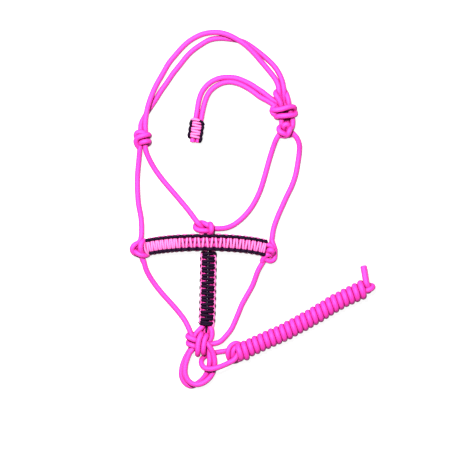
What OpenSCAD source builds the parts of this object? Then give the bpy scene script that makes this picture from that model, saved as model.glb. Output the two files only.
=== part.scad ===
// Rope halter, knotted from braided cord and laid flat, with a wound lead
// rope hitched to its chin loops. Flat in XY, +Y towards the crown, +Z up.
// Every route below is a list of [x, y, z]: x and y in layout units, z in
// millimetres above the surface the halter lies on.

/* [Rope] */
// Diameter of the halter rope and of the lead rope, mm
rope_d = 6; // [5.6:0.1:6.2]
// Size of one layout unit, mm
unit = 1.1; // [1.05:0.01:1.15]
// Sides of each swept rope
rope_sides = 8; // [8:1:12]

/* [Weave] */
// Thickness of the flat weave over the core ropes, mm
weave_t = 3; // [2.4:0.1:3.2]
// Width of the noseband weave, mm
noseband_w = 18.4; // [17:0.2:19]
// Width of the jaw strap weave, mm
jaw_w = 17.4; // [16.6:0.2:18]
// Width of the whipping on the crown tail, mm
whip_w = 17.8; // [17:0.2:19]

/* [Lead] */
// Outside diameter of the wound lead, mm
hank_d = 20; // [19.6:0.2:20.4]
// Length of the wound lead along its axis, mm
hank_len = 157; // [154:1:158]
// Direction of the wound lead, degrees from +X
hank_angle = 26.7; // [26:0.1:27.4]

/* [Hidden] */
$fn = 48;
r = rope_d / 2;
pink = [0.98, 0.38, 0.9];
pale = [1, 0.68, 0.96];
black = [0.09, 0.05, 0.11];
// places the middle of the halter's outline on the origin
shift = [-1, 1.5];

// layout units to millimetres
function mm(p) = [p[0] * unit + shift[0], p[1] * unit + shift[1], p[2]];
function unitv(a) = a / max(norm(a), 1e-9);
// smooth route through the given points, m steps to a span
function spline(p, m) = [for (i = [0 : len(p) - 2]) let (
        a = p[max(i - 1, 0)], b = p[i], c = p[i + 1],
        d = p[min(i + 2, len(p) - 1)])
    for (k = [0 : m - 1]) let (t = k / m)
        0.5 * (2 * b + (c - a) * t + (2 * a - 5 * b + 4 * c - d) * t * t
            + (3 * b - a - 3 * c + d) * t * t * t), p[len(p) - 1]];
function tangents(q) = [for (i = [0 : len(q) - 1])
    unitv(q[min(i + 1, len(q) - 1)] - q[max(i - 1, 0)])];
// a normal carried along the route without twist
function carried(t, n) = unitv(n - (n * t) * t);
function normals(t, n0) = [for (i = 0, n = carried(t[0], n0); i < len(t);
    i = i + 1, n = i < len(t) ? carried(t[i], n) : n) n];
// closed solid swept along q: section is a list of [across, up] offsets
module sweep(q, section, n0 = [0, 0, 1]) {
    t = tangents(q);
    n = normals(t, n0);
    m = len(section);
    k = len(q);
    pts = [for (i = [0 : k - 1]) let (s = cross(t[i], n[i]))
        for (c = section) q[i] + s * c[0] + n[i] * c[1]];
    faces = concat([[for (j = [0 : m - 1]) j]],
        [for (i = [0 : k - 2]) for (j = [0 : m - 1])
            let (j2 = (j + 1) % m)
            [i * m + j, (i + 1) * m + j, (i + 1) * m + j2, i * m + j2]],
        [[for (j = [m - 1 : -1 : 0]) (k - 1) * m + j]]);
    polyhedron(pts, faces, convexity = 8);
}
function ring(rad) = [for (j = [0 : rope_sides - 1])
    let (a = 360 * (j + 0.5) / rope_sides) rad * [cos(a), -sin(a)]];
// rope along a route given in layout units
module rope(p, m = 1, n0 = [0, 0, 1], rad = r)
    sweep(spline([for (a = p) mm(a)], m), ring(rad), n0);
// flat strip along a route: from w0 to w1 across, h0 to h1 above its middle
module strip(p, w0, w1, h0, h1, m = 1)
    sweep(spline([for (a = p) mm(a)], m),
        [[w0, h1], [w1, h1], [w1, h0], [w0, h0]]);
// turns of rope round a bundle: c is the middle, ang the bundle's direction,
// a the half width across it, zs the lowest and highest rope centre
function turns(c, ang, a, zs, adv, from, to, step = 30) =
    [for (f = [from : step : to]) let (s = adv * (f - from) / 360,
        w = a * cos(f), z = (zs[0] + zs[1]) / 2 + (zs[1] - zs[0]) / 2 * sin(f))
        [c[0] + s * cos(ang) - w * sin(ang),
         c[1] + s * sin(ang) + w * cos(ang), z]];

// ---- routes ----
crown_a = [[-70.5, 89, 8.5], [-69, 96.5, 9], [-67.5, 104, 9], [-64, 114, 8],
    [-60, 123, 5.5], [-54.5, 134, 4], [-47.5, 147.5, 3.5], [-35, 161.5, 3.5],
    [-20.5, 173, 4], [-12, 176, 5], [0, 176.5, 7], [10, 175, 8.8],
    [21, 169.5, 9.2], [29, 165, 9], [38, 157, 7.5], [46.5, 147.5, 6.5],
    [54, 138, 6.5], [60, 129, 7.5], [63, 121, 8.5]];
crown_b = [[-73.5, 89, 3.2], [-70, 97, 3], [-64.5, 104, 3], [-59.5, 111, 3],
    [-56, 117, 3], [-49.5, 127, 3], [-40, 140, 3], [-28.5, 155, 3],
    [-20, 162, 3], [-8, 168.5, 3], [0, 170.8, 3], [8, 171.2, 3],
    [21, 169, 3], [28, 167.5, 3], [35, 164.5, 3], [42.6, 158, 3],
    [50.8, 151.4, 3.5], [58.6, 143.6, 4.5], [64, 135.4, 6], [66.8, 128.2, 7.5],
    [67.8, 121, 8.5]];
cheek_l = [[-77, 57, 8], [-78, 47, 5.5], [-78.5, 33, 3], [-78.5, 19, 3],
    [-77.5, 5, 3], [-75, -8, 3.5], [-74.5, -18, 6], [-74.5, -25, 8]];
throat_l = [[-69, 57, 8], [-66, 49, 6], [-60.5, 39.5, 3.5], [-53, 29, 3],
    [-44, 18, 3], [-35, 7.5, 3.5], [-27, -2, 5.5], [-22, -8.5, 8]];
throat_r = [[5, -19.5, 8], [10, -18.8, 6.5], [16.5, -16.3, 4], [28, -7.5, 3],
    [34.5, 0, 3], [39.5, 8, 3], [44.5, 19, 3], [48, 31, 3], [54, 51, 3],
    [57.5, 62, 5.5], [59.5, 69, 8]];
cheek_r = [[79, 72.6, 8], [82.4, 68.6, 7], [83.4, 62, 5], [82.6, 55, 3.5],
    [81.4, 45, 3], [79.2, 34, 3], [76, 23.5, 3], [71, 13, 3], [66, 2, 3],
    [61.5, -9, 4], [58, -19, 6.5], [56.5, -26, 8]];
chin_l = [[-70, -58, 7], [-67, -65.2, 5], [-61.6, -74, 3.2], [-53.8, -84.2, 3],
    [-44.8, -94.6, 3], [-37, -103.4, 3.5], [-31, -111.5, 5.5], [-28, -118.5, 8]];
chin_r = [[43.5, -60, 6], [40.6, -66, 5], [35.6, -77.6, 3.2], [30, -87, 3],
    [25.4, -95.2, 3], [22.2, -103.2, 3], [18.8, -111.6, 3], [14.8, -120, 3.5],
    [10, -127, 5], [4, -132.2, 7], [-2, -135, 8]];
tie_eye = [[66, 88, 8], [65.8, 95, 8], [65, 103, 9], [61.8, 109, 9.5],
    [59, 113.4, 8], [60, 117.2, 4.5], [63.6, 118.9, 3], [69.6, 118, 3.2],
    [71.6, 113, 6], [72.6, 106, 8], [74.2, 98, 8], [75.6, 92, 8], [76, 88, 8]];
tail_a = [[46.3, 115.4, 7.5], [41.3, 119, 5.5], [35, 123.6, 3.5],
    [28, 127.8, 3], [21, 130.6, 3], [14, 132, 3], [5, 131.4, 3],
    [-3.7, 127.8, 3], [-9.8, 122.7, 3.5], [-14.3, 116.6, 4.5], [-17, 108.8, 6],
    [-18.6, 100, 7], [-20.4, 91, 7], [-22.2, 79, 7], [-23.2, 72, 7],
    [-23.6, 67.6, 7]];
tail_b = [[43.6, 110.8, 7.5], [38.6, 114.6, 5.5], [32.5, 118.8, 3.5],
    [25.8, 123, 3], [19.5, 125.6, 3], [13.3, 126.7, 3], [6, 125.8, 3],
    [-1, 122.5, 3], [-6.5, 118, 3.5], [-10, 112.5, 4.5], [-11.8, 106.5, 6],
    [-13.4, 99, 7], [-15.2, 88, 7], [-16.8, 79, 7], [-17.8, 72, 7],
    [-18.2, 67.2, 7]];
whip_axis = [[-18.2, 88.6, 7], [-19, 84, 7], [-20, 77, 7], [-20.8, 70.6, 7]];
nose_mid = [[-68, -38, 8], [-56, -36.2, 9], [-36, -34.6, 11], [-8, -33.8, 12.6],
    [19, -35, 11.5], [39, -37.3, 9.5], [49, -39.2, 8.5]];
jaw_mid = [[-7.5, -43.2, 6.3], [-8, -70, 6.3], [-8.8, -98, 6.3], [-9.2, -115.5, 6.3]];
jaw_l = [[-10.5, -27, 3.2], [-10.5, -36, 3.2], [-10.6, -43, 6.3], [-11, -70, 6.3],
    [-11.8, -98, 6.3], [-12.3, -115.5, 6.3], [-16, -120, 7.5], [-18.5, -123, 8]];
jaw_r = [[-4.5, -27, 3.2], [-4.5, -36, 3.2], [-4.6, -43, 6.3], [-5, -70, 6.3],
    [-5.8, -98, 6.3], [-6.3, -115.5, 6.3], [-4.4, -121, 7.5], [-4.4, -126, 8]];
// from the left side of the chin knot round to its right side
loop_front = [[-23.5, -140, 9], [-28, -147, 9.5], [-31, -155, 9.5],
    [-31, -164, 9.5], [-27, -172, 9.5], [-20, -176, 9.5], [-13, -174.5, 9.5],
    [-7, -168.5, 9.5], [-3, -161, 9.5], [-1.5, -153, 10], [-3, -146, 12],
    [-6, -139, 12]];
loop_back = [[-26, -140, 4], [-31.5, -149, 3], [-34.4, -157.5, 3],
    [-34.8, -166, 3], [-32, -173.5, 3], [-25.4, -178, 3], [-18.5, -177.5, 4.5],
    [-13, -171, 7.8], [-9.5, -163.5, 9.5], [-7.3, -155, 9.6],
    [-6.9, -147, 9.6], [-8.5, -140, 8.5]];
eye = [[2, -143, 7.2], [0, -144.4, 5], [-2, -145.8, 3.2], [-5, -148.2, 3],
    [-10, -150, 3], [-14, -151.8, 5.5], [-15.4, -154, 10], [-13.5, -157, 14.2],
    [-8.5, -158.5, 16.2], [-2.5, -158.6, 16.2], [1.8, -157.8, 16.2],
    [5, -156.6, 14.4], [8.2, -155.1, 10.5]];

// ---- halter: knots ----
module cheek_knot_left() color(pink) {
    rope([[-74, 84, 5], [-75, 80, 7], [-75, 73, 8], [-75.5, 66, 8], [-77, 57, 8]]);
    rope([[-70.2, 84, 8.5], [-70.2, 80, 8.5], [-70, 73, 8], [-70, 66, 8], [-69, 57, 8]]);
    rope(turns([-73.1, 65.5], 90, 7.2, [3, 13], 5, 0, 540));
}
module throat_knot() color(pink) {
    rope([[-22, -8.5, 8], [-18, -13, 8], [-12, -16, 11], [-4, -16, 8]]);
    rope([[-12, -16, 11], [-19, -15.5, 11], [-21.6, -18.5, 9], [-18, -21.8, 8],
        [-10, -21.8, 9], [-2, -20, 8], [5, -19.5, 8]]);
    rope(turns([-4.5, -18.6], 0, 5, [3, 13], 2, -90, 270), n0 = [0, 1, 0]);
    rope([[-4.8, -14, 8], [-10.5, -17.5, 3.2], [-10.5, -27, 3.2]]);
    rope([[-4.8, -14, 8], [-4.5, -18, 3.2], [-4.5, -27, 3.2]]);
}
module cheek_knot_right() color(pink) {
    rope([[66, 88, 8], [65, 82, 8], [63, 76, 8], [59.5, 69, 8]]);
    rope([[76, 88, 8], [76, 82, 8], [77, 76, 8], [79, 72.6, 8]]);
    rope(turns([70, 83], -70, 7, [3, 13], 7, 0, 540));
}
module tie_loop() color(pink) rope(tie_eye);
module tie_knot() color(pink) {
    // the crown strands go down through the loop
    rope([[63.7, 115, 8.5], [64.5, 110, 6.5], [67, 103, 4], [66, 97, 3.2]]);
    rope([[68.6, 115, 8.5], [68.4, 110, 6.5], [70, 103, 4], [70.6, 97, 3.2]]);
    // turns round the loop, and the tail leaving under them
    rope(turns([67.2, 99.5], -75, 12.3, [3, 13.5], 7.5, 0, 540));
    rope([[50.4, 112.8, 7.5], [55, 108.8, 8], [60, 103, 8]]);
    rope([[47.7, 108.1, 7.5], [53, 104.5, 8], [59, 99, 8]]);
}
module nose_knot_left() color(pink) {
    rope([[-74.5, -25, 8], [-75.5, -32, 8], [-82, -36.5, 11], [-84, -41, 10],
        [-82, -45, 8], [-76, -46.5, 8], [-72, -49, 8], [-71.5, -53, 7.5],
        [-70, -58, 7]]);
    rope(turns([-74.5, -37], 0, 6.5, [3, 13.5], 3.5, 90, 450), n0 = [0, 1, 0]);
    rope([[-74, -34, 8], [-68, -35, 8]]);
    rope([[-74, -41, 8], [-68, -41, 8]]);
}
module nose_knot_right() color(pink) {
    rope([[56.5, -26, 8], [55.8, -31, 8], [58.5, -36, 10], [61, -40, 10],
        [60.5, -46, 8], [57, -51, 6], [52.5, -50, 6], [47, -54, 6], [43.5, -60, 6]]);
    rope(turns([52.5, -39.5], -20, 6.5, [3, 13.5], 4, 90, 450), n0 = [0, 1, 0]);
    rope([[54, -36.2, 8.5], [49, -36.2, 8.5]]);
    rope([[54, -42.2, 8.5], [49, -42.2, 8.5]]);
}
module chin_knot() color(pink) {
    rope([[-28, -118.5, 8], [-26, -125, 8], [-20, -130, 8]]);
    rope([[-18.5, -123, 8], [-19.5, -128, 8], [-17, -134, 8]]);
    rope([[-4.4, -126, 8], [-5, -132, 8], [-9, -136, 8]]);
    rope([[-2, -135, 8], [-9, -134, 8], [-15, -133, 8]]);
    rope(turns([-21.8, -127.8], -90, 6.3, [3, 12.5], 6.2, -90, 450));
    rope(turns([-18, -135.8], 0, 9.6, [3, 14], 6.2, -90, 450), n0 = [0, 1, 0]);
    rope([[-17, -136, 9], [-21, -138, 9], [-23.5, -140, 9]]);
    rope([[-17, -136, 5], [-21, -137.5, 4.5], [-26, -140, 4]]);
    rope([[-12, -136, 11], [-9, -136.5, 12], [-6, -139, 12]]);
    rope([[-12, -136, 7], [-10, -137, 8], [-8.5, -140, 8.5]]);
}

// ---- halter: ropes between the knots ----
module crown_rope_outer() color(pink) rope(crown_a);
module crown_rope_inner() color(pink) rope(crown_b);
module cheek_rope_left() color(pink) rope(cheek_l);
module throat_rope_left() color(pink) rope(throat_l);
module throat_rope_right() color(pink) rope(throat_r);
module cheek_rope_right() color(pink) rope(cheek_r);
module chin_rope_left() color(pink) rope(chin_l);
module chin_rope_right() color(pink) rope(chin_r);
module chin_loop_front() color(pink) rope(loop_front);
module chin_loop_back() color(pink) rope(loop_back);
module tail_rope_outer() color(pink) rope(tail_a);
module tail_rope_inner() color(pink) rope(tail_b);

// ---- woven bands: two core ropes under a flat weave of two cords ----
function beside(p, d) = [for (a = p) [a[0], a[1] + d, a[2]]];
module nose_core_upper() color(pink) rope(beside(nose_mid, 3));
module nose_core_lower() color(pink) rope(beside(nose_mid, -3));
module noseband_weave_pink() color(pale) {
    strip(nose_mid, -noseband_w / 2 + 2.5, noseband_w / 2 - 2.5, r, r + weave_t, 2);
    strip(nose_mid, -noseband_w / 2 + 2.5, noseband_w / 2 - 2.5, -r - weave_t, -r, 2);
}
module noseband_weave_black() color(black) {
    strip(nose_mid, noseband_w / 2 - 2.4, noseband_w / 2, -4.6, 4.6, 2);
    strip(nose_mid, -noseband_w / 2, -noseband_w / 2 + 2.4, -4.6, 4.6, 2);
}
module jaw_core_left() color(pink) rope(jaw_l);
module jaw_core_right() color(pink) rope(jaw_r);
module jaw_weave_black() color(black) {
    strip(jaw_mid, -jaw_w / 2 + 2.2, jaw_w / 2 - 2.2, r, r + weave_t);
    strip(jaw_mid, -jaw_w / 2 + 2.2, jaw_w / 2 - 2.2, -r - weave_t, -r);
}
module jaw_weave_pink() color(pale) {
    strip(jaw_mid, jaw_w / 2 - 2.1, jaw_w / 2, -4.6, 4.6);
    strip(jaw_mid, -jaw_w / 2, -jaw_w / 2 + 2.1, -4.6, 4.6);
}
module tail_whip_pink() color(pale) {
    strip(whip_axis, -whip_w / 2 + 2.8, whip_w / 2 - 2.8, r, r + weave_t);
    strip(whip_axis, -whip_w / 2 + 2.8, whip_w / 2 - 2.8, -r - weave_t, -r);
}
module tail_whip_black() color(black) {
    strip(whip_axis, whip_w / 2 - 2.7, whip_w / 2, -4.8, 4.8);
    strip(whip_axis, -whip_w / 2, -whip_w / 2 + 2.7, -4.8, 4.8);
}

// ---- lead rope ----
// head end of the winding, and a frame with +X along its axis
head = mm([21, -144, hank_d / 2]);
module along_hank() translate(head) rotate([0, 0, hank_angle]) children();
module lead_eye() color(pink) rope(eye);
module lead_leg_front() color(pink)
    rope([[11.5, -153.4, 9.5], [15, -150.6, 9.5], [17, -149, 10]]);
module lead_leg_back() color(pink)
    rope([[6, -142, 8.5], [10, -142.7, 9.5], [14.2, -143.8, 10]]);
module lead_hitch() color(pink) along_hank() rotate([0, 90, 0])
    translate([0, 0, -7]) rotate_extrude() translate([7.4, 0]) circle(r = r - 0.2);
module lead_core() color(pink) along_hank() rotate([0, 90, 0])
    translate([0, 0, -3.5]) cylinder(r = 4.2, h = hank_len + 3);
module lead_wraps() color(pink) along_hank() rotate([0, 90, 0])
    difference() {
        cylinder(d = hank_d, h = hank_len);
        translate([0, 0, -1]) cylinder(r = 4.2, h = hank_len + 2);
    }
// the core strand turns back on itself past the last turn
module lead_end_bight() color(pink)
    rope([[149.2, -79.7, 6.8], [152.6, -78, 6.2], [155.4, -76.6, 7.4],
        [156.6, -76, 10], [155.4, -76.6, 12.8], [152.6, -78, 14], [149.2, -79.7, 13.4]],
        n0 = [0, 0, 1]);
// the last turn's end comes up through the bight and stands clear
module lead_tail() color(pink)
    rope([[151, -73.4, 9.5], [150.2, -69, 10], [149, -62.5, 10], [148.2, -57, 10]]);

crown_rope_outer();
crown_rope_inner();
cheek_knot_left();
cheek_rope_left();
throat_rope_left();
throat_knot();
throat_rope_right();
cheek_rope_right();
cheek_knot_right();
tie_loop();
tie_knot();
tail_rope_outer();
tail_rope_inner();
tail_whip_pink();
tail_whip_black();
nose_knot_left();
nose_core_upper();
nose_core_lower();
noseband_weave_pink();
noseband_weave_black();
nose_knot_right();
jaw_core_left();
jaw_core_right();
jaw_weave_black();
jaw_weave_pink();
chin_rope_left();
chin_rope_right();
chin_knot();
chin_loop_front();
chin_loop_back();
lead_eye();
lead_leg_front();
lead_leg_back();
lead_hitch();
lead_core();
lead_wraps();
lead_end_bight();
lead_tail();
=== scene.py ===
import math

import bmesh
import bpy
import numpy as np
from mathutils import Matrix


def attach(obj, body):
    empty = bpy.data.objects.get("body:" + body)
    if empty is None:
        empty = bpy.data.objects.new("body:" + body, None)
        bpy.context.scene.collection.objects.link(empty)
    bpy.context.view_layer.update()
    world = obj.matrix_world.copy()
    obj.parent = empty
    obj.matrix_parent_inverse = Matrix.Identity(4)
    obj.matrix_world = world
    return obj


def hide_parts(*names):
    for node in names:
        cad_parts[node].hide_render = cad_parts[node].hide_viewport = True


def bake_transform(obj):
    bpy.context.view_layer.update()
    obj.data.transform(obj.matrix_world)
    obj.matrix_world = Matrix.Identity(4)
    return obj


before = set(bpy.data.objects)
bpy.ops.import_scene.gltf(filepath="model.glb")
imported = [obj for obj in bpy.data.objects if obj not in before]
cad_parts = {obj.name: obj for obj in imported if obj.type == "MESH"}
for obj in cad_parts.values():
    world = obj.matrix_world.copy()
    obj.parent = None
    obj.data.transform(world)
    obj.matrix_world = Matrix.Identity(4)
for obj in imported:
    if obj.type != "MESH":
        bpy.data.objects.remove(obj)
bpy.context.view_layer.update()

U = 1.1        # one layout unit, mm
R = 3.0        # rope radius, mm
RC = 1.55      # weave cord radius, mm


# ---------------------------------------------------------------- routes
def P(u, v, z):
    """layout units (u to the right, v down) and height in mm, to the row frame in mm"""
    return np.array([(u - 216.0) * U - 1.0, (209.0 - v) * U + 1.5, z], dtype=float)


def G(x, y, z):
    """the same from the CAD's own layout units"""
    return np.array([x * U - 1.0, y * U + 1.5, z], dtype=float)


def route(pts):
    return np.array([P(*p) for p in pts])


def spline(pts, n=10):
    """centripetal-like Catmull-Rom through the points"""
    p = np.asarray(pts, float)
    out = []
    for i in range(len(p) - 1):
        b, c = p[i], p[i + 1]
        a = p[i - 1] if i > 0 else b + (b - c)
        d = p[i + 2] if i + 2 < len(p) else c + (c - b)
        lb = max(np.linalg.norm(c - b), 1e-9)
        la = max(np.linalg.norm(b - a), 1e-9)
        ld = max(np.linalg.norm(d - c), 1e-9)
        m1 = ((b - a) / la * lb + (c - b)) * 0.5
        m2 = ((d - c) / ld * lb + (c - b)) * 0.5
        for k in range(n):
            t = k / n
            h00, h10 = 2 * t**3 - 3 * t**2 + 1, t**3 - 2 * t**2 + t
            h01, h11 = -2 * t**3 + 3 * t**2, t**3 - t**2
            out.append(h00 * b + h10 * m1 + h01 * c + h11 * m2)
    out.append(p[-1])
    return np.array(out)


def resample(q, step):
    d = np.r_[0, np.cumsum(np.linalg.norm(np.diff(q, axis=0), axis=1))]
    n = max(2, int(round(d[-1] / step)) + 1)
    s = np.linspace(0, d[-1], n)
    return np.stack([np.interp(s, d, q[:, k]) for k in range(3)], 1), d[-1]


def relax(q, times=2):
    q = q.copy()
    for _ in range(times):
        q[1:-1] = 0.25 * q[:-2] + 0.5 * q[1:-1] + 0.25 * q[2:]
    return q


def length_of(q):
    return float(np.sum(np.linalg.norm(np.diff(q, axis=0), axis=1)))


def frames(q):
    t = np.gradient(q, axis=0)
    t /= np.linalg.norm(t, axis=1)[:, None]
    n = np.zeros_like(t)
    up = np.array([0, 0, 1.0]) if abs(t[0][2]) < 0.9 else np.array([0, 1.0, 0])
    v = up - up.dot(t[0]) * t[0]
    n[0] = v / np.linalg.norm(v)
    for i in range(1, len(q)):
        v = n[i - 1] - n[i - 1].dot(t[i]) * t[i]
        n[i] = v / np.linalg.norm(v)
    return t, n, np.cross(t, n)


# ---------------------------------------------------------------- materials
def new_mat(name):
    m = bpy.data.materials.new(name)
    m.use_nodes = True
    nt = m.node_tree
    nt.nodes.clear()
    out = nt.nodes.new("ShaderNodeOutputMaterial")
    b = nt.nodes.new("ShaderNodeBsdfPrincipled")
    nt.links.new(b.outputs[0], out.inputs[0])
    return m, nt, b


def math_node(nt, op, a, b=None, c=None):
    n = nt.nodes.new("ShaderNodeMath")
    n.operation = op
    for i, x in enumerate((a, b, c)):
        if x is None:
            continue
        if isinstance(x, (int, float)):
            n.inputs[i].default_value = x
        else:
            nt.links.new(x, n.inputs[i])
    return n.outputs[0]


def braid_material(name, lit, deep, around, along, rough=0.55, sheen=0.25, spec=0.35, bump=0.35, fleck=0.05, tint=(1.0, 1.0, 1.0), shade=None):
    """Braided cord. UV u runs once round the cord, v is length over circumference."""
    m, nt, b = new_mat(name)
    uv = nt.nodes.new("ShaderNodeUVMap")
    uv.uv_map = "UVMap"
    sep = nt.nodes.new("ShaderNodeSeparateXYZ")
    nt.links.new(uv.outputs[0], sep.inputs[0])
    u, v = sep.outputs[0], sep.outputs[1]
    k = 2 * math.pi
    a1 = math_node(nt, "MULTIPLY", u, k * around)
    a2 = math_node(nt, "MULTIPLY", v, k * along)
    p1 = math_node(nt, "ADD", a1, a2)
    p2 = math_node(nt, "SUBTRACT", a1, a2)
    s1 = math_node(nt, "ABSOLUTE", math_node(nt, "SINE", math_node(nt, "MULTIPLY", p1, 0.5)))
    s2 = math_node(nt, "ABSOLUTE", math_node(nt, "SINE", math_node(nt, "MULTIPLY", p2, 0.5)))
    # over and under: which of the two strand families is on top
    over = math_node(nt, "MULTIPLY", math_node(nt, "SINE", p1), math_node(nt, "SINE", p2))
    w = math_node(nt, "MULTIPLY_ADD", over, 2.2, 0.5)
    cl = nt.nodes.new("ShaderNodeClamp")
    nt.links.new(w, cl.inputs[0])
    mixh = nt.nodes.new("ShaderNodeMix")
    mixh.data_type = "FLOAT"
    nt.links.new(cl.outputs[0], mixh.inputs[0])
    nt.links.new(s1, mixh.inputs[2])
    nt.links.new(s2, mixh.inputs[3])
    h = mixh.outputs[0]
    # fine filaments
    geo = nt.nodes.new("ShaderNodeTexCoord")
    fil = nt.nodes.new("ShaderNodeTexNoise")
    fil.inputs["Scale"].default_value = 2600.0
    fil.inputs["Detail"].default_value = 2.0
    nt.links.new(geo.outputs["Object"], fil.inputs["Vector"])
    soil = nt.nodes.new("ShaderNodeTexNoise")
    soil.inputs["Scale"].default_value = 60.0
    soil.inputs["Detail"].default_value = 3.0
    nt.links.new(geo.outputs["Object"], soil.inputs["Vector"])
    # colour: painted shade between the strands (the deep colour fills the braid's gaps), small random drifts in
    # strength
    ramp = nt.nodes.new("ShaderNodeMapRange")
    ramp.inputs[1].default_value = 0.0
    ramp.inputs[2].default_value = 0.75
    nt.links.new(h, ramp.inputs[0])
    f1 = math_node(nt, "MULTIPLY_ADD", math_node(nt, "SUBTRACT", soil.outputs["Fac"], 0.5), fleck * 4, ramp.outputs[0])
    f2 = math_node(nt, "MULTIPLY_ADD", math_node(nt, "SUBTRACT", fil.outputs["Fac"], 0.5), fleck * 6, f1)
    clc = nt.nodes.new("ShaderNodeClamp")
    nt.links.new(f2, clc.inputs[0])
    mix = nt.nodes.new("ShaderNodeMix")
    mix.data_type = "RGBA"
    mix.inputs[6].default_value = (*deep, 1)
    mix.inputs[7].default_value = (*lit, 1)
    nt.links.new(clc.outputs[0], mix.inputs[0])
    colour = mix.outputs[2]
    if shade:
        # painted shade: the colour is pulled towards the shade colour where ambient occlusion finds strands pressed
        # together
        ao = nt.nodes.new("ShaderNodeAmbientOcclusion")
        ao.samples = 8
        ao.inputs["Distance"].default_value = 0.008
        mr = nt.nodes.new("ShaderNodeMapRange")
        mr.inputs[1].default_value = 0.22
        mr.inputs[2].default_value = 0.88
        nt.links.new(ao.outputs["AO"], mr.inputs[0])
        mix2 = nt.nodes.new("ShaderNodeMix")
        mix2.data_type = "RGBA"
        mix2.inputs[6].default_value = (*shade, 1)
        nt.links.new(mr.outputs[0], mix2.inputs[0])
        nt.links.new(colour, mix2.inputs[7])
        colour = mix2.outputs[2]
    nt.links.new(colour, b.inputs["Base Color"])
    hh = math_node(nt, "MULTIPLY_ADD", fil.outputs["Fac"], 0.25, h)
    bp = nt.nodes.new("ShaderNodeBump")
    bp.inputs["Strength"].default_value = bump
    bp.inputs["Distance"].default_value = 0.00025
    nt.links.new(hh, bp.inputs["Height"])
    nt.links.new(bp.outputs[0], b.inputs["Normal"])
    b.inputs["Roughness"].default_value = rough
    b.inputs["Specular IOR Level"].default_value = spec
    b.inputs["Specular Tint"].default_value = (*tint, 1)
    b.inputs["Sheen Weight"].default_value = sheen
    b.inputs["Sheen Roughness"].default_value = 0.4
    b.inputs["Sheen Tint"].default_value = (1.0, 0.75, 0.95, 1)
    return m


# deep colours: painted shade in the gaps between the braid strands
# shade colours: painted shade in the creases where strands press together
ROPE = braid_material("rope_pink", (0.68, 0.030, 0.355), (0.56, 0.010, 0.235), 8, 3.2, rough=0.65, sheen=0.0, spec=0.32, shade=(0.34, 0.0, 0.13))
PALE = braid_material("weave_light_pink", (0.66, 0.135, 0.375), (0.55, 0.060, 0.26), 6, 2.6, sheen=0.0, spec=0.4, shade=(0.34, 0.004, 0.15))
BLACK = braid_material("weave_black", (0.0090, 0.0016, 0.0120), (0.0024, 0.0006, 0.0034), 6, 2.6, rough=0.6, sheen=0.0, spec=0.05)


def melted_material():
    """The cut end, sealed with a flame: glossy, deep red-pink, darker in random patches."""
    m, nt, b = new_mat("rope_cut_end")
    geo = nt.nodes.new("ShaderNodeTexCoord")
    n = nt.nodes.new("ShaderNodeTexNoise")
    n.inputs["Scale"].default_value = 700.0
    n.inputs["Detail"].default_value = 4.0
    nt.links.new(geo.outputs["Object"], n.inputs["Vector"])
    mix = nt.nodes.new("ShaderNodeMix")
    mix.data_type = "RGBA"
    mix.inputs[6].default_value = (0.16, 0.0, 0.02, 1)
    mix.inputs[7].default_value = (0.50, 0.006, 0.09, 1)
    nt.links.new(n.outputs["Fac"], mix.inputs[0])
    nt.links.new(mix.outputs[2], b.inputs["Base Color"])
    bp = nt.nodes.new("ShaderNodeBump")
    bp.inputs["Strength"].default_value = 0.6
    bp.inputs["Distance"].default_value = 0.0004
    nt.links.new(n.outputs["Fac"], bp.inputs["Height"])
    nt.links.new(bp.outputs[0], b.inputs["Normal"])
    b.inputs["Roughness"].default_value = 0.35
    return m


MELT = melted_material()


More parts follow.
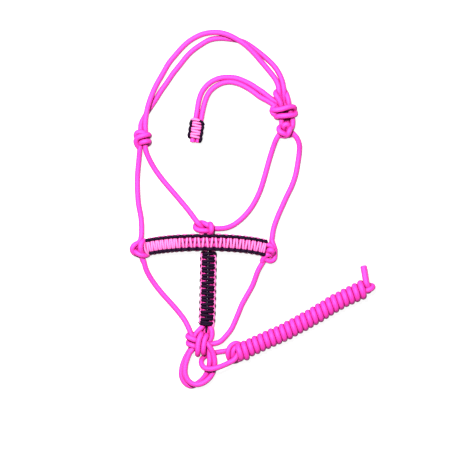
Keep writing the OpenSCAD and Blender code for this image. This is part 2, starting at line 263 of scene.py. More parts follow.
# ---------------------------------------------------------------- tubes
def tube(name, path_mm, radius=R, segs=24, step=0.9, mats=(None,), relief=0.0, around=8, along=3.2,
         squash=None, end_a=None, end_b=None, v0=0.0, smooth_path=1):
    """Braided tube along path_mm (mm). radius may be a function of (fraction along). end_a / end_b:
    None (plain closed end) or 'melt' (rounded, flame-sealed end in the second material)."""
    q, total = resample(np.asarray(path_mm, float), step)
    q = relax(q, smooth_path)
    t, n, s = frames(q)
    d = np.r_[0, np.cumsum(np.linalg.norm(np.diff(q, axis=0), axis=1))]
    m = len(q)
    circ = 2 * math.pi * (radius if not callable(radius) else radius(0.5))
    th = np.arange(segs) * 2 * math.pi / segs
    verts = []
    for i in range(m):
        f = i / (m - 1)
        rr = radius(f) if callable(radius) else radius
        rad = np.full(segs, rr)
        if relief:
            a = around * th
            b = 2 * math.pi * along * d[i] / circ
            rad = rad + relief * np.sin(a + b) * np.sin(a - b)
        if squash is not None:
            # squash is not used: nothing is flattened
            pass
        ring = q[i] + np.outer(rad * np.cos(th), n[i]) + np.outer(rad * np.sin(th), s[i])
        verts.append(ring)
    V = np.concatenate(verts) / 1000.0
    F = []
    for i in range(m - 1):
        for j in range(segs):
            j2 = (j + 1) % segs
            F.append((i * segs + j, i * segs + j2, (i + 1) * segs + j2, (i + 1) * segs + j))
    uvs = []
    for i in range(m - 1):
        va, vb = v0 + d[i] / circ, v0 + d[i + 1] / circ
        for j in range(segs):
            uvs += [(j / segs, va), ((j + 1) / segs, va), ((j + 1) / segs, vb), (j / segs, vb)]
    matidx = [0] * len(F)
    V = list(map(tuple, V))

    def cap(i, out_dir, style, flip):
        nonlocal V
        base = i * segs
        rr = radius(i / (m - 1)) if callable(radius) else radius
        prof = [(0.96, 0.25), (0.82, 0.62), (0.55, 0.72), (0.28, 0.60)] if style == "melt" else [(0.93, 0.25), (0.7, 0.5), (0.35, 0.62)]
        prev = [base + j for j in range(segs)]
        for kx, (pr, ph) in enumerate(prof):
            cen = q[i] + out_dir * ph * (1.0 if style != "melt" else 1.2)
            wob = 1 + (0.05 * np.sin(3 * th + i) if style == "melt" else 0 * th)
            ring = cen + np.outer(rr * pr * wob * np.cos(th), n[i]) + np.outer(rr * pr * wob * np.sin(th), s[i])
            st = len(V)
            V += list(map(tuple, ring / 1000.0))
            cur = [st + j for j in range(segs)]
            for j in range(segs):
                j2 = (j + 1) % segs
                f4 = (prev[j], prev[j2], cur[j2], cur[j])
                F.append(f4 if not flip else f4[::-1])
                uvs.extend([(j / segs, 0), ((j + 1) / segs, 0), ((j + 1) / segs, 0.1), (j / segs, 0.1)])
                matidx.append(1 if style == "melt" and kx > 0 else 0)
            prev = cur
        st = len(V)
        V.append(tuple((q[i] + out_dir * (0.45 if style == "melt" else 0.66)) / 1000.0))
        for j in range(segs):
            j2 = (j + 1) % segs
            f3 = (prev[j], prev[j2], st)
            F.append(f3 if not flip else f3[::-1])
            uvs.extend([(j / segs, 0), ((j + 1) / segs, 0), (j / segs, 0.1)])
            matidx.append(1 if style == "melt" else 0)

    cap(0, -t[0], end_a, True)
    cap(m - 1, t[-1], end_b, False)
    me = bpy.data.meshes.new(name)
    me.from_pydata(V, [], F)
    lay = me.uv_layers.new(name="UVMap")
    lay.data.foreach_set("uv", np.array(uvs, dtype=np.float32).ravel())
    for mt in mats:
        me.materials.append(mt)
    me.polygons.foreach_set("material_index", matidx)
    me.polygons.foreach_set("use_smooth", [True] * len(F))
    me.update()
    # outward normals
    bm = bmesh.new()
    bm.from_mesh(me)
    bmesh.ops.recalc_face_normals(bm, faces=bm.faces)
    bm.to_mesh(me)
    bm.free()
    o = bpy.data.objects.new(name, me)
    bpy.context.scene.collection.objects.link(o)
    return o, q / 1000.0, length_of(q) / 1000.0


def rope(name, pts, body="halter", replaces=(), raw=False, relief=0.09, segs=32, step=0.8, **kw):
    q = spline(pts if raw else route(pts), 8)
    o, path, ln = tube(name, q, R, segs=segs, step=step, mats=(ROPE, MELT), relief=relief, **kw)
    if body:
        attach(o, body)
    if replaces:
        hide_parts(*replaces)
    return o, path, ln


def turns(c, ang, a, zs, adv, f0, f1, step=20, lean=0.0):
    """turns of rope round a bundle at c (u, v), bundle direction ang degrees from +X (up is +Y)"""
    out = []
    cx, cy = math.cos(math.radians(ang)), math.sin(math.radians(ang))
    n = int(round(abs(f1 - f0) / step))
    for i in range(n + 1):
        f = f0 + (f1 - f0) * i / n
        s = adv * (f - f0) / 360.0
        w = a * math.cos(math.radians(f))
        z = (zs[0] + zs[1]) / 2 + (zs[1] - zs[0]) / 2 * math.sin(math.radians(f))
        s += lean * w
        out.append((c[0] + s * cx - w * cy, c[1] - (s * cy + w * cx), z))
    return out


# ---------------------------------------------------------------- camera, cords first
scene = bpy.context.scene
cam_d = bpy.data.cameras.new("cam")
cam = bpy.data.objects.new("cam", cam_d)
scene.collection.objects.link(cam)
CX, CY = ((225 - 216) * U - 1.0) / 1000, ((209 - 225) * U + 1.5) / 1000
cam.location = (CX, CY, 2.2 + 0.006)
cam.rotation_euler = (0, 0, 0)
cam_d.sensor_width = 36
cam_d.lens = 36 * 2.2 / 0.495
cam_d.clip_end = 50
scene.camera = cam

# crown tail: two strands, from inside the tie knot to their cut ends
TAIL_A = [(281, 104, 8), (275.5, 101.2, 8), (271.2, 98.8, 8), (267, 95.6, 7.8), (262.4, 91.9, 7), (257.5, 88.6, 5.5), (251.2, 84.3, 3.6), (244.2, 80.8, 3.2),
          (237, 78.1, 3.1), (230, 77.2, 3.1), (221, 77.7, 3.1), (212.3, 81.0, 3.1), (206.2, 86.0, 3.6), (201.7, 92.3, 4.5),
          (199.0, 100, 6), (197.4, 109, 7), (196.3, 116, 7), (195.2, 122, 7), (194.1, 130, 7), (193.1, 137, 7), (192.6, 141.8, 7)]
TAIL_B = [(281, 110, 7), (276, 106.8, 8), (271, 103.2, 8), (266.3, 100.4, 7.8), (259.5, 96.7, 7), (254.7, 92.9, 5.5), (248.8, 88.7, 3.6), (241.9, 84.9, 3.2),
          (235.4, 82.6, 3.1), (229.4, 81.8, 3.1), (222.4, 82.9, 3.1), (216, 86.0, 3.1), (210.6, 90.6, 3.6), (207.2, 96, 4.5),
          (204.8, 102.5, 6), (202.9, 110, 7), (201.7, 116, 7), (200.6, 122, 7), (199.4, 130, 7), (198.4, 137, 7), (197.9, 142.2, 7)]
tails = []
for nm, pts in (("tail_rope_outer", TAIL_A), ("tail_rope_inner", TAIL_B)):
    o, path, ln = rope("v_" + nm, pts, body=None, replaces=(nm,), end_b="melt")
    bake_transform(o)
    tails.append((o, path, ln))

# lead rope: one rope from inside the winding, round the chin loops, back along
# the core, round the end bight, and out over itself in turns
HEAD = G(21, -144, 10.0)
ANG = math.radians(26.7)
AX = np.array([math.cos(ANG), math.sin(ANG), 0])
SD = np.array([-math.sin(ANG), math.cos(ANG), 0])     # across, to the upper side
UP = np.array([0, 0, 1.0])
TURNS, PITCH = 24, 6.43


def sway(a):
    """the hank's slight S-curve: sideways offset (mm) at a mm along the axis"""
    xs = [0, 13, 33, 55, 79, 92, 106, 119, 135, 152, 175]
    ys = [0, -0.6, -1.6, -2.6, -2.2, -1.5, -0.4, 0.7, 1.2, 0.7, 0.4]
    return float(np.interp(a, xs, ys))


def H(a, w, z):
    """hank frame: a along, w across (up the page), z above the axis; mm"""
    return HEAD + AX * a + SD * (w + sway(a)) + UP * z


lead = [H(18, 2.0, -1.8), H(12, 3.8, -2.8)]
# a ring of the same rope stands out at the head, then goes back in and turns inside
lead += [P(*p) for p in [(240.2, 344.6, 5.8), (236.4, 343.0, 7.0), (232.0, 344.7, 8.4), (229.0, 348.3, 9.2), (227.9, 352.6, 9.0), (228.6, 357.0, 7.0),
                         (230.8, 360.6, 4.4), (234.8, 361.4, 3.3), (238.8, 359.5, 3.3), (241.8, 357.0, 3.8)]]
lead += [H(8, -3.6, -3.4), H(12.5, -3.0, -1.4), H(15.6, -0.4, 0.2), H(12.5, 2.4, 1.4), H(8, 1.4, 1.2), H(4.0, -0.6, 0.8)]
# the eye round the chin loops
eye_front = [(237.8, 353.0, 10.6), (236.6, 356.4, 11.8), (233.6, 359.9, 12.2), (230, 361.9, 12.2), (224, 364.6, 14.0), (218, 366.8, 15.8), (212, 368.2, 16.0), (206.4, 368.0, 15.2), (202.4, 365.4, 12.6),
             (201.2, 361.6, 9.0), (202.6, 358.4, 5.6), (206.0, 355.8, 3.6), (211, 354.0, 3.1), (216.5, 352.6, 3.1), (222.5, 351.6, 3.1), (228, 350.8, 3.4), (233, 349.8, 4.8)]
lead += [P(*p) for p in eye_front]
lead += [H(4.5, 2.0, -2.8)]
for a in (10, 20, 40, 60, 80, 100, 120, 140, 150):
    lead.append(H(a, 1.9, -1.5))
# end bight, then back down the core
lead += [H(156.5, 1.4, -3.4), H(162.0, 0.7, -4.0), H(165.6, -0.5, -2.4), H(166.3, -2.2, 0.8), H(164.4, -3.2, 3.4), H(160.0, -3.2, 4.4), H(155, -1.9, 2.4)]
for a in (148, 140, 120, 100, 80, 60, 40, 20):
    lead.append(H(a, 0.0, 1.7))
# out at the head under the first turn, then round and round
lead += [H(12, 1.0, 1.8), H(6.5, 3.4, 2.0)]
lead += [P(*p) for p in [(235.9, 347.3, 12.0), (233.5, 350.7, 11.9), (233.2, 354.4, 10.4), (233.2, 357.4, 7.6), (235.4, 359.2, 6.6), (238.6, 359.5, 7.4)]]
RW, PITCH_W = 6.75, 6.5
lead_core = spline(np.array(lead), 8)
wind = []
f0, f1, n_per = 0.54, 24.25, 20
tot = int(round((f1 - f0) * n_per))
for i in range(tot + 1):
    f = f0 + (f1 - f0) * i / tot
    ang = 2 * math.pi * f
    a = 11.4 + PITCH_W * (f - 2) + 0.6 * max(0.0, f - 22.25)
    rw = RW + 0.12 * math.sin(2.1 * f) + 0.10 * math.sin(5.3 * f + 1) + 0.45 * math.exp(-((f - 23.6) / 0.5) ** 2)
    # from the upper side over the back to the lower side, then over the front
    w = (rw + 0.35) * math.cos(ang) - 1.8 * math.exp(-((f - 1.5) / 0.16) ** 2)
    z = -rw * math.sin(ang)
    wind.append(H(a - 0.7 * math.exp(-((f - 1.5) / 0.2) ** 2), w, z))
wind = np.array(wind)
LEAD_END = [H(158.6, -3.4, -5.8), H(160.2, -4.3, -3.2), H(160.9, -2.2, -0.2), H(161.2, 1.0, 2.4), P(366.2, 284.0, 13.2), P(365.3, 279.5, 12.6), P(364.3, 272.6, 11), P(363.3, 266.4, 9.6)]
lead_path = np.concatenate([lead_core, spline(np.array([lead[-1]] + list(wind)), 2)[1:], spline(np.array([wind[-1]] + LEAD_END), 8)[1:]])
N_CORE = length_of(lead_core) / length_of(lead_path)
TAIL_F = 1 - 24.0 / length_of(lead_path)
LAST_F = 1 - 145.0 / length_of(lead_path)


def lead_radius(f):
    """the rope is pressed a little wider in the turns, and opens towards its cut end"""
    if f < N_CORE:
        return R
    return R + 0.32 * min(1.0, (f - N_CORE) / 0.004) + 0.24 * min(1.0, max(0.0, (f - LAST_F) * 60)) + 0.2 * min(1.0, max(0.0, (f - TAIL_F) / (1 - TAIL_F)))


lead_o, lead_q, LEAD_LEN = tube("v_lead_rope", lead_path, lead_radius, segs=20, step=1.0, mats=(ROPE, MELT), relief=0.0, end_b="melt", smooth_path=3)
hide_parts("lead_eye", "lead_leg_front", "lead_leg_back", "lead_hitch", "lead_core", "lead_wraps", "lead_end_bight", "lead_tail")
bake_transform(lead_o)
[tuple(p) for p in lead_q[::2]]

# ---------------------------------------------------------------- halter ropes
CROWN_A = [(283.5, 107, 4.5), (281.3, 101, 5.0), (280.0, 96.5, 6.2), (279.0, 92, 7.9), (278.3, 86.5, 8.2), (275.8, 80.1, 7.5), (269.3, 71.2, 6.5), (261.8, 62.3, 6.5), (253.7, 53, 7.5),
           (245.2, 45, 9), (237, 39.6, 9.2), (226, 34.3, 8.6), (216, 32.4, 6.5), (204.1, 33.6, 4.6), (195.8, 36.9, 3.6), (187.9, 41.9, 3.2),
           (181.4, 48.0, 3.2), (175.6, 54.6, 3.2), (169.3, 62.2, 3.2), (162.1, 74.6, 3.8), (156.1, 85.3, 5.2), (151.8, 95.3, 7.4), (148.6, 104.5, 8.6), (146.7, 112.5, 8.8), (145.6, 120, 8.6),
           (145.3, 127, 8.2), (145.6, 133, 8), (146, 140, 8)]
CROWN_B = [(285.0, 107, 4.5), (284.4, 101, 5.2), (284.0, 96.5, 6.5), (283.9, 91, 7.9), (283.3, 86.5, 7.9), (281.9, 80.4, 7), (279.4, 74.2, 5.6), (274.4, 66.3, 4.4), (266.6, 58.4, 3.4),
           (258.6, 51.8, 3.1), (250.8, 46.0, 3.1), (244, 42.0, 3.1), (237, 39.8, 3.1), (229, 38.6, 3.1), (222.5, 38.0, 3.1), (215, 38.4, 3.1), (208, 40.3, 3.1), (201.8, 43.9, 3.1),
           (194.2, 49.1, 3.1), (188.1, 54.6, 3.1), (179.7, 65.0, 3.1), (173.3, 72.9, 3.1), (167.0, 82.2, 3.1), (160.8, 91, 3.1), (156.4, 98, 3.1), (151.9, 104.8, 3.1), (147.4, 111.6, 3.1), (144.0, 117.6, 3.6),
           (141.2, 123.5, 5.4), (140.7, 129, 7.4), (141, 135, 8), (140.5, 141, 8)]
for nm, pts in (("crown_rope_outer", CROWN_A), ("crown_rope_inner", CROWN_B)):
    o, path, ln = rope("v_" + nm, pts, body=None, replaces=(nm,))
    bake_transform(o)

rope("v_cheek_rope_left", [(140.6, 135, 8), (140.3, 142, 8), (139.9, 149, 7.6), (138.9, 159, 5.2), (137.4, 176, 3.1), (137.4, 190, 3.1), (138.4, 204, 3.1), (140.8, 217, 3.3),
     (141.6, 228, 5.5), (141.4, 236, 7.6), (140.5, 242, 8)], replaces=("cheek_rope_left",))
rope("v_throat_rope_left", [(146, 134, 8), (145.3, 142, 8), (145.6, 149.4, 7.6), (149.0, 158.6, 5.6), (155, 169.3, 3.4), (163, 180.2, 3.1), (172.2, 191, 3.1), (181, 201.3, 3.4),
     (189.0, 211, 5.4), (194.2, 218, 8.4), (198, 223.0, 10.4), (201.4, 226.8, 8.4), (204.2, 229.2, 5.4)], replaces=("throat_rope_left",))
rope("v_throat_rope_right", [(207, 228.5, 8), (213, 228.6, 8), (219, 228.6, 7.6), (226, 227.9, 6), (233, 225.2, 4), (239, 221, 3.1), (244.3, 216.2, 3.1), (250.5, 208.8, 3.1), (255.5, 200.7, 3.1), (260.5, 189.6, 3.1),
     (264.2, 178, 3.1), (269.8, 158, 3.1), (273.6, 146, 5.0), (276.4, 139, 7.6), (279.5, 134, 8)], replaces=("throat_rope_right",))
rope("v_cheek_rope_right", [(288, 130, 8), (292.4, 133.4, 8), (296.6, 137.6, 7.6), (299.2, 144.4, 6), (299.3, 152, 4), (297.8, 163.5, 3.1), (295.6, 175, 3.1), (292, 185.6, 3.1), (287, 196, 3.1), (282, 207, 3.1),
     (277.2, 218, 3.8), (273.6, 228.5, 6), (272.2, 236.5, 7.8), (271.6, 243, 8)], replaces=("cheek_rope_right",))
rope("v_chin_rope_left", [(141.9, 257, 8), (144.0, 262, 7.6), (145.7, 268.4, 6.4), (149.2, 275.8, 4.6), (154.1, 283.4, 3.2), (162.0, 293.4, 3.1), (171.3, 303.7, 3.1), (179.0, 312.6, 3.5), (184.9, 320.6, 5.5),
     (188.8, 328.2, 7.8), (191.2, 334, 8), (194, 339, 8)], replaces=("chin_rope_left",))
rope("v_chin_rope_right", [(269, 254, 6), (265.5, 258.5, 6), (262.0, 263.8, 6), (258.5, 269.8, 5.4), (252.5, 285.5, 3.2), (246.7, 296.1, 3.1), (242.1, 304.4, 3.1), (238.7, 312.6, 3.1), (235.2, 321.0, 3.1),
     (231.3, 329.2, 3.5), (225.8, 336.2, 5), (220, 341.6, 7), (212, 343.8, 8), (204, 343.5, 8)], replaces=("chin_rope_right",))

# ---------------------------------------------------------------- knots
def knot(name, parts, node):
    """a knot: rope runs joined into one piece"""
    objs = []
    for i, pts in enumerate(parts):
        q = spline(route(pts), 6)
        o, _, _ = tube(f"{name}_{i}", q, R, segs=28, step=0.8, mats=(ROPE, MELT), relief=0.09, smooth_path=2)
        objs.append(o)
    base = objs[0]
    if len(objs) > 1:
        with bpy.context.temp_override(active_object=base, selected_editable_objects=objs, selected_objects=objs):
            bpy.ops.object.join()
    base.name = name
    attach(base, "halter")
    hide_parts(node)
    return base


# left cheek knot: the doubled strand wrapped twice round itself
knot("v_cheek_knot_left", [
    [(139.0, 147.4, 7.4), (136.9, 144.6, 9.4), (136.2, 141.2, 11.4), (137.8, 138.2, 13.2), (141.4, 136.6, 14.4), (145.2, 135.6, 14.0), (148.4, 134.9, 11.6), (149.4, 135.6, 8.0), (147.4, 137.4, 4.4), (142.5, 139.5, 3.2)],
    [(142.5, 143.5, 3.2), (139.2, 144.2, 4.6), (140.2, 143.6, 8.8), (142.0, 142.6, 12.2), (145.4, 141.8, 13.2), (148.4, 141.4, 11.2), (149.4, 142.2, 7.8), (148.0, 144, 4.6), (144, 145, 3.4)],
    [(138.6, 139.6, 8.0), (136.3, 136.6, 9.4), (137.2, 133.0, 11.2), (140.4, 132.4, 12.2), (144.4, 133.4, 12.0), (147.6, 134.6, 9.6)],
], "cheek_knot_left")

# throat knot: left rope's bight over the right rope, one turn round both
knot("v_throat_knot", [
    [(211, 231.0, 9.5), (205.5, 230.9, 11.5), (199, 230.2, 11.6), (195.6, 228.3, 9.6), (195.9, 225.2, 5.4), (199, 223.2, 4.2), (203, 222.8, 7.6), (207, 224.8, 10.4), (210.6, 226.8, 9.6)],
    [(209.0, 230, 3.2), (208.8, 226.4, 3.6), (209.8, 224.0, 8), (211.2, 225.2, 13.4), (211.6, 229, 14.6), (211.3, 232.8, 12.2), (210.6, 235.0, 7.5), (209.8, 231, 3.4)],
    [(201, 226, 5), (204.6, 231, 3.6), (205.4, 236.5, 3.2)],
    [(213, 226, 5), (212.6, 231, 3.6), (211.6, 236.5, 3.2)],
], "throat_knot")

# right cheek knot, under the tie loop
knot("v_cheek_knot_right", [
    [(284.8, 131, 7), (283.8, 127.8, 10.4), (284.6, 125.2, 12.8), (286.9, 124.6, 12.6), (288.0, 126.8, 10.6), (287.2, 130.4, 7.6)],
    [(286.2, 104, 4.4), (286.6, 110, 4.6), (287.4, 117, 4.2), (288.0, 122, 3.8), (287.6, 128, 3.6)],
    [(283.4, 108, 4.4), (283.6, 114, 4.6), (284.2, 120, 4.2), (285.0, 126, 3.8)],
    [(284.5, 126.5, 5), (280.6, 126.4, 7.4), (278.6, 129.4, 11.2), (280.2, 132.4, 13.2), (284.0, 134.2, 12.6), (288.4, 135.6, 9.2), (291.8, 134.6, 7.6), (294.6, 134.6, 7.8)],
    [(292.6, 123.5, 8), (292.0, 127.2, 9), (290.2, 129.4, 12.8), (289.1, 132.0, 14.4), (287.9, 134.8, 12.6), (285.4, 136.2, 8.6), (281.8, 135.6, 7.0), (279.2, 135.4, 7.4)],
    [(281.6, 122, 8), (282, 126, 6), (284, 130, 5)],
], "cheek_knot_right")

# the eye of the tie loop
rope("v_tie_loop", [(285.0, 131, 7), (282.2, 126, 7.6), (281.6, 120, 8.2), (281.7, 112, 8.6), (281.0, 105, 11), (278.9, 100.2, 12), (276.0, 95.4, 11.4), (275.6, 92.8, 8.0), (278.4, 90.6, 3.8), (282.5, 89.8, 3.0),
     (285.6, 92.2, 4.6), (287.0, 96, 7.6), (288.3, 101, 9.2), (289.0, 106, 9.0), (290.6, 113, 8.4), (292.6, 120, 8), (292.4, 126, 7.6), (290.5, 131, 6)], replaces=("tie_loop",))
# sheet bend: two turns across the front of the loop
knot("v_tie_knot", [
    [(283, 112, 4), (277.5, 113.4, 3.6), (273.0, 113.0, 6.4), (271.9, 110.6, 10.4), (275.2, 110.4, 13.6), (279.6, 110.0, 14.9), (284.3, 108.8, 15.4), (289.2, 107.4, 14.4), (293.4, 107.2, 11.0), (294.6, 109.2, 6.8), (291, 112.2, 3.6), (284, 115.2, 3),
     (278.6, 117.4, 4.2), (276.3, 117.2, 8), (278.6, 116.6, 12.4), (284.6, 116.3, 14.8), (290.4, 115.6, 14), (294.8, 115.0, 10.8), (295.2, 112.6, 6.6), (291.5, 110.5, 3.6), (286, 108, 3)],
    [(276.2, 105.0, 7.6), (272.8, 108.2, 9.4), (271.8, 111.4, 9.6), (274.4, 114.6, 9.8), (279.2, 115.4, 7)],
    [(281, 106, 6), (285, 104.6, 6.4), (289, 106, 6)],
], "tie_knot")

# left nose knot
knot("v_nose_knot_left", [
    [(141.0, 239, 8.4), (139.0, 242.6, 9.6), (134.8, 244.8, 11.0), (132.4, 248.6, 10.6), (133.6, 252.4, 8.6), (137.4, 254.4, 6.2), (141.6, 256.2, 6.4)],
    [(147.2, 242.2, 6.6), (143.8, 241.0, 10.8), (141.6, 243.4, 13.8), (140.9, 248.2, 14.2), (141.8, 252.4, 11.6), (144.8, 254.0, 7.4), (144, 248, 3.4), (143.8, 244.6, 3.6), (147.2, 243.2, 4.6)],
    [(134.6, 250.8, 8.6), (137.4, 253.0, 12.0), (141.4, 254.9, 12.4), (145.6, 255.6, 9.8), (147.8, 254.8, 6)],
    [(143, 256.5, 9), (142.4, 259.4, 7.8), (144, 262.5, 7)],
    [(136.0, 247.2, 7.4), (139.2, 245.2, 8.6), (142, 245.0, 8), (149, 246.0, 8)],
    [(137, 250, 5), (142, 250.5, 7), (149, 250.6, 8)],
], "nose_knot_left")

# right nose knot
knot("v_nose_knot_right", [
    [(271.8, 240, 8.4), (272.8, 243.8, 9), (274.6, 248.2, 8.4), (274.9, 253.6, 6.8), (274.2, 259.0, 6.8), (270.6, 261.1, 7.6), (266.6, 259.4, 8.4), (263.6, 256.0, 8.4)],
    [(262.5, 246.2, 7), (266.6, 244.8, 10.2), (270.6, 245.8, 10.8), (273.4, 248.8, 9.6)],
    [(269.0, 255.0, 5), (268.2, 251.9, 10.4), (269.8, 250.0, 14.8), (271.8, 250.4, 15.0), (272.8, 252.8, 11.4), (271.8, 255.0, 6)],
    [(271, 255.4, 8.6), (267.6, 254.4, 11.4), (264.6, 257.0, 9.6), (261.8, 261.8, 6.8)],
    [(262, 251, 8), (267, 251.5, 7), (271, 252, 5)],
    [(262, 246, 8), (267, 246, 7), (271, 247, 5)],
], "nose_knot_right")

# chin knot: two turns lengthways over the front, two crosswise at the left
knot("v_chin_knot", [
    [(199, 337.5, 4), (193.4, 334.4, 3.4), (189.0, 334.6, 5.6), (187.8, 336.6, 9.6), (190.4, 337.8, 11.4), (195.2, 339.8, 11.8), (200, 342, 8)],
    [(199, 342, 4), (193.2, 339.8, 3.4), (189.0, 341.2, 5.6), (188.3, 343.6, 9), (190.8, 344.6, 11), (195.2, 346.0, 11.2), (200, 347, 8)],
    [(196.6, 351, 3.6), (196.4, 344, 3.2), (198.6, 337, 3.6), (201.6, 333.8, 7.2), (201.2, 334.6, 11.6), (199.1, 339.4, 14.4), (198.2, 345, 15), (197.9, 350.6, 14.2), (197.8, 353.8, 10.6), (197.8, 354.2, 6.6), (198, 350, 3.6)],
    [(203.4, 349, 3.6), (203.2, 343, 3.2), (205.2, 338, 3.8), (206.9, 335.6, 7.6), (206.0, 336.6, 11.8), (204.4, 341.0, 14.2), (203.7, 346, 14.8), (203.4, 350.4, 13.6), (203.5, 352.8, 9.9), (203.4, 352.6, 6.4), (203.4, 348, 3.6)],
    [(204.4, 324, 3.2), (204.6, 330, 3.2), (204.2, 338, 3.4)],
    [(208.0, 325, 3.2), (208.0, 331, 3.2), (207.2, 339, 3.4)],
    [(201.8, 334, 3.2), (202.0, 342, 3.4), (201.4, 349, 3.6)],
    [(196, 345, 9), (193.4, 348.2, 9.2), (191.0, 351.6, 9.4)],
    [(196, 343, 4.5), (192.2, 347.0, 4.2), (188.2, 352.6, 3.6)],
], "chin_knot")

# chin loops
rope("v_chin_loop_front", [(198, 344, 9), (194, 347.4, 9.2), (190.5, 351.4, 9.4), (187.8, 357.4, 9.6), (185.4, 366, 9.6), (185.6, 375, 9.6), (190.2, 382.0, 9.6), (196.4, 384.3, 9.6), (203.4, 382.6, 9.6), (210.4, 376.6, 9.6),
     (214.1, 369, 9.7), (214.7, 360.4, 9.8), (212.8, 352.4, 11.0), (209.8, 346.8, 12), (206.8, 343.0, 11.5), (202, 341, 9)], replaces=("chin_loop_front",))
rope("v_chin_loop_back", [(198, 341, 4.5), (192.4, 346.8, 4.2), (188.4, 352.4, 3.6), (184.8, 359.2, 3.1), (182.0, 367.4, 3.1), (181.6, 376.6, 3.1), (185.4, 383.4, 3.1), (191.6, 386.2, 3.1), (198.6, 382.6, 3.8), (204.0, 377.4, 6.2),
     (207.6, 370.8, 9.0), (209.7, 362.4, 9.4), (209.4, 354.6, 9.2), (208.2, 349, 8), (206, 344, 6.4), (201, 341, 6)], replaces=("chin_loop_back",))


# ---------------------------------------------------------------- woven bands
def join(name, objs):
    base = objs[0]
    if len(objs) > 1:
        with bpy.context.temp_override(active_object=base, selected_editable_objects=objs, selected_objects=objs):
            bpy.ops.object.join()
    base.name = name
    return base


def band(prefix, centre, spots, bar_mat, edge_mat, bar_slot, edge_slot, body, bar_node, edge_node, w_bar=5.5, w_turn=7.4, w_edge=7.3,
         h_bar=4.35, h_edge=4.7, rc=1.5, re=1.7, flip=1, lean=0.14, tip=0.9, extra=None):
    """Cobra weave: the bar cord crosses the front every half-knot, the edge cord crosses the back and
    comes up over the bars' ends. centre: route of the band's middle (mm). spots: where each half-knot
    starts along the band, mm, one more than there are half-knots."""
    q = spline(centre, 30)
    d = np.r_[0, np.cumsum(np.linalg.norm(np.diff(q, axis=0), axis=1))]
    L = d[-1]
    t = np.gradient(q, axis=0)
    t /= np.linalg.norm(t, axis=1)[:, None]
    spots = np.asarray(spots, float)
    n = len(spots) - 1

    def W(s, w, h):
        c = np.array([np.interp(s, d, q[:, k]) for k in range(3)])
        tt = np.array([np.interp(s, d, t[:, k]) for k in range(3)])
        tt /= np.linalg.norm(tt)
        if s < 0:
            c = q[0] + t[0] * s
        if s > L:
            c = q[-1] + t[-1] * (s - L)
        up = np.array([0, 0, 1.0]) - tt[2] * tt
        up /= np.linalg.norm(up)
        sd = np.cross(up, tt)
        return c + sd * w * flip + up * h

    def S(x):
        """half-knot number (with its fraction) to mm along the band"""
        if x < 0:
            return spots[0] + x * (spots[1] - spots[0])
        if x > n:
            return spots[-1] + (x - n) * (spots[-1] - spots[-2])
        return float(np.interp(x, np.arange(n + 1), spots))

    A, B = [], []
    for k in range(n):
        m = k + 0.5
        e = 1 if k % 2 == 0 else -1     # the bar goes towards side e
        j = 0.05 * math.sin(7.1 * k)
        hb = h_bar + 0.12 * math.sin(3.7 * k)
        A += [W(S(m + lean + j), -e * w_bar, hb - 0.9), W(S(m + lean * 0.5 + j), -e * w_bar * 0.5, hb), W(S(m - lean * 0.5 + j), e * w_bar * 0.5, hb), W(S(m - lean + j), e * w_bar, hb - 0.9)]
        A += [W(S(m - 0.06), e * (w_turn - 0.5), 1.2), W(S(m + 0.24), e * w_turn, -0.4)]
        if k < n - 1:
            A += [W(S(m + 0.76), e * w_turn, -0.4), W(S(m + 1.06), e * (w_turn - 0.5), 1.2)]
        B += [W(S(m + 0.14), e * w_bar * 0.7, -h_bar + 0.1), W(S(m), 0, -h_bar - 0.1), W(S(m - 0.14), -e * w_bar * 0.7, -h_bar + 0.1)]
        B += [W(S(m - 0.30), -e * (w_edge - 0.9), -2.2), W(S(m - 0.34), -e * (w_edge - tip), 0.8)]
        top = h_edge + 0.15 * math.sin(5.3 * k + 1)
        B += [W(S(m - 0.16), -e * (w_edge - 0.45), top - 0.8), W(S(m + 0.5), -e * (w_edge + 0.12), top), W(S(m + 1.16), -e * (w_edge - 0.45), top - 0.8)]
        B += [W(S(m + 1.34), -e * (w_edge - tip), 0.8), W(S(m + 1.30), -e * (w_edge - 0.9), -2.2)]
    if extra:
        more_a, more_b = extra(W, S, n)
    else:
        more_a, more_b = [], []
    out = []
    for nm, pts, mt, sl, node, rad, more in ((prefix + "_bars", A, bar_mat, bar_slot, bar_node, rc, more_a), (prefix + "_edges", B, edge_mat, edge_slot, edge_node, re, more_b)):
        objs = [tube("v_" + nm, spline(np.array(pts), 5), rad, segs=14, step=0.5, mats=(mt, mt), smooth_path=1)[0]]
        for x in more:
            objs.append(tube("v_" + nm + "_x", spline(np.array(x), 6), rad, segs=14, step=0.5, mats=(mt, mt), smooth_path=1)[0])
        o = join("v_" + nm, objs)
        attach(o, body)
        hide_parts(node)
        out.append(o)
    return out


NOSE = route([(147.2, 247.0, 8), (160, 244.9, 9), (180, 243.0, 11), (208, 242.3, 12.6), (235, 243.4, 11.5), (255, 245.8, 9.5), (266.8, 248.4, 8.5)])
# where each pair of bars meets at the upper edge, in layout units; the knots sit closer near the ends
MEET = [148.9, 153.6, 158.2, 162.6, 167.2, 171.6, 176.0, 181.6, 189.0, 197.2, 205.6, 214.2, 222.2, 229.2, 235.4, 241.4, 247.2, 253.0, 258.8, 263.6]


def along_nose(us):
    q = spline(NOSE, 30)
    d = np.r_[0, np.cumsum(np.linalg.norm(np.diff(q, axis=0), axis=1))]
    return np.interp([(u - 216.0) * U - 1.0 for u in us], q[:, 0], d)


_m = along_nose(MEET)
_x = np.arange(0, 2 * len(MEET) + 1)
_k = np.r_[0, np.arange(1, 2 * len(MEET), 2), 2 * len(MEET)]
NOSE_SPOTS = np.interp(_x, _k, np.r_[along_nose([147.3])[0], _m, along_nose([264.9])[0]])


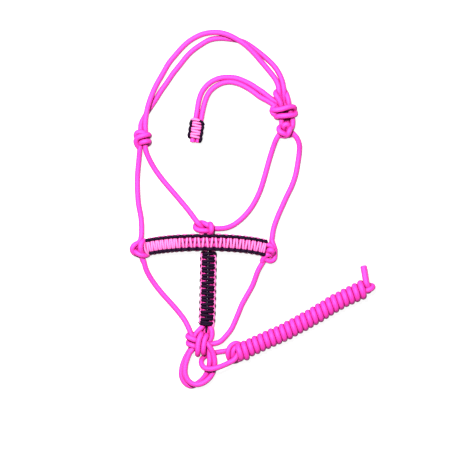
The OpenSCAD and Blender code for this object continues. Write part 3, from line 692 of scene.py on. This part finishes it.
def nose_extra(W, S, n):
    # the first turn of the light cord shows round the end of the band
    loop = [W(4.0, -5.5, 1.5), W(1.6, -7.6, 2.4), W(-0.6, -7.0, 3.6), W(-1.9, -3.6, 4.2), W(-2.3, 0.2, 4.3), W(-1.8, 4.2, 4.1), W(0.2, 7.8, 2.2), W(3.0, 8.4, 0.2), W(5, 6.5, -1.6)]
    return [loop], []


band("noseband", NOSE, NOSE_SPOTS, PALE, BLACK, "weave_light_pink", "weave_black", "halter", "noseband_weave_pink", "noseband_weave_black",
     flip=-1, lean=0.13, re=1.95, w_turn=8.5, extra=nose_extra)
JAW = route([(208.4, 251.4, 6.3), (208.4, 262, 6.3), (207.9, 285, 6.3), (207.4, 310, 6.3), (206.6, 324.8, 6.3)])
JAW_L = length_of(spline(JAW, 30))


def jaw_extra(W, S, n):
    # a black cord piece between the cores below the last knot: painted shade, a dark stand-in for the shaded gap there
    a = [W(JAW_L - 4, 0, -2.0), W(JAW_L + 1, 0.2, -1.5), W(JAW_L + 4.5, 0.1, -1.2), W(JAW_L + 8.4, -0.2, -1.6)]
    # an extra crossing closes the end of the weave
    b = [W(JAW_L - 1.2, -7.0, 1.0), W(JAW_L - 0.9, -5.4, 3.5), W(JAW_L - 0.7, 0, 4.4), W(JAW_L - 0.8, 4.6, 3.6), W(JAW_L - 1.4, 6.2, 1.0)]
    return [a, b], []


band("jaw_strap", JAW, np.linspace(0.3, JAW_L - 0.8, 21), BLACK, PALE, "weave_black", "weave_light_pink", "halter", "jaw_weave_black", "jaw_weave_pink",
     w_bar=6.0, w_turn=7.7, w_edge=7.4, h_edge=3.0, h_bar=4.4, rc=1.72, re=1.5, lean=0.15, tip=0.7, extra=jaw_extra)
WHIP = route([(197.7, 120.3, 7), (196.9, 125, 7), (195.8, 132, 7), (194.7, 139.4, 7)])


def whip_extra(W, S, n):
    # the first turn of the light cord, over the top of the left strand
    a = [W(2.2, -6.6, 0.5), W(0.6, -6.4, 3.0), W(-0.1, -4.4, 5.2), W(-0.3, -1.4, 5.6), W(0.6, 2.0, 5.0), W(1.8, 4.6, 3.6)]
    b = [W(1.4, 0.6, 4.6), W(0.9, 3.0, 5.0), W(2.2, 5.8, 4.6), W(4.2, 7.2, 3.4)]
    c = [W(16.2, 5.6, 2.0), W(15.6, 6.4, 4.4), W(14.2, 6.6, 5.3), W(12.6, 6.9, 4.6)]
    return [a], [b, c]


band("tail_whip", WHIP, np.linspace(1.4, 20.2, 7), PALE, BLACK, "weave_light_pink", "weave_black", "tail", "tail_whip_pink", "tail_whip_black",
     w_bar=5.0, w_turn=6.4, w_edge=6.9, h_bar=4.5, h_edge=4.7, rc=1.62, re=1.75, lean=0.14, extra=whip_extra)


def offset(path, w):
    q = spline(path, 12)
    t = np.gradient(q, axis=0)
    t /= np.linalg.norm(t, axis=1)[:, None]
    s = np.cross(np.array([0, 0, 1.0]), t)
    s /= np.linalg.norm(s, axis=1)[:, None]
    return q + s * w


for nm, w in (("nose_core_upper", 2.95), ("nose_core_lower", -2.95)):
    q = offset(np.concatenate([[P(141, 248.2, 7.2)], NOSE, [P(271, 249.6, 7.6)]]), w)
    rope("v_" + nm, q, replaces=(nm,), raw=True)
rope("v_jaw_core_left", [(203, 229, 6), (205.2, 235, 3.4), (205.4, 244, 3.2), (205.2, 251, 5.6), (205.0, 262, 6.3), (204.4, 300, 6.3), (203.9, 318, 6.3), (203.0, 325.4, 6.6), (199.6, 329.6, 7.6), (196.6, 332.8, 8), (194.6, 337, 8)],
     replaces=("jaw_core_left",))
rope("v_jaw_core_right", [(212.5, 229, 6), (211.2, 235, 3.4), (211.2, 244, 3.2), (211.0, 251, 5.6), (210.8, 262, 6.3), (210.2, 300, 6.3), (209.7, 318, 6.3), (210.0, 325.4, 6.6), (211.8, 330.6, 7.6), (211.8, 336, 8), (209.6, 340.4, 8), (204, 343, 8)],
     replaces=("jaw_core_right",))

for (o, path, ln), ex in zip(tails, (P(268, 97.2, 8), P(266, 101.3, 8))):
    # each tail's path is listed point by point; the list is not kept
    [tuple(p) for p in path]

# ---------------------------------------------------------------- floor and light
bpy.ops.mesh.primitive_plane_add(size=8, location=(0, 0, -0.0002))
floor = bpy.context.object
floor.name = "floor"
fm, nt, b = new_mat("floor_white")
b.inputs["Base Color"].default_value = (0.25, 0.25, 0.25, 1)
b.inputs["Roughness"].default_value = 0.95
b.inputs["Specular IOR Level"].default_value = 0.05
b.inputs["Emission Color"].default_value = (1, 1, 1, 1)
b.inputs["Emission Strength"].default_value = 0.93
floor.data.materials.append(fm)
floor.visible_diffuse = False

world = bpy.data.worlds.new("w")
scene.world = world
world.use_nodes = True
bg = world.node_tree.nodes["Background"]
bg.inputs[0].default_value = (1, 0.97, 0.99, 1)
bg.inputs[1].default_value = 0.16


def area(name, loc, size, power, target=(0, 0, 0)):
    ld = bpy.data.lights.new(name, "AREA")
    ld.shape = "DISK"
    ld.size = size
    ld.energy = power
    lo = bpy.data.objects.new(name, ld)
    scene.collection.objects.link(lo)
    lo.location = loc
    v = np.array(target, float) - np.array(loc, float)
    v /= np.linalg.norm(v)
    from mathutils import Vector
    lo.rotation_euler = Vector(v).to_track_quat("-Z", "Y").to_euler()
    return lo


area("key", (-0.40, 0.70, 1.95), 0.6, 134)
scene.view_settings.view_transform = "Standard"
